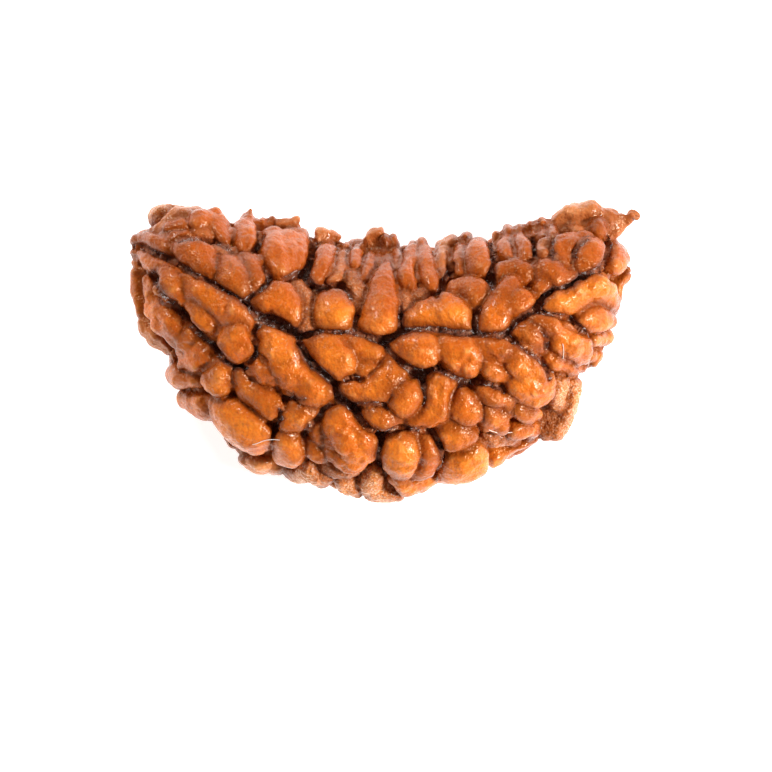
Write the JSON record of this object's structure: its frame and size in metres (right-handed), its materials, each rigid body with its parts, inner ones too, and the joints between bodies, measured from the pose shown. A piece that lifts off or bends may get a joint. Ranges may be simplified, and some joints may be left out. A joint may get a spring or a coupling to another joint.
{
  "type": "rudraksha bead",
  "caption": "Half-moon rudraksha seed bead: a lobed, deeply grooved natural stone with one seam line, a pointed tip and a shallow hollow edge, lying on its broad back.",
  "frame": {"origin": "centre of the bounding box at the level of the flats that the bead rests on", "axes": "+Z out of the lobed face, away from the surface; +X along the half-moon towards its pointed tip; +Y towards the hollow edge"},
  "size_m": [0.0304, 0.018, 0.0116],
  "materials": {
    "seed_shell": "satin, waxy orange-brown seed shell, near-black in the grooves"
  },
  "bodies": {
    "root": {"bead": "seed_shell"}
  },
  "joints": []
}
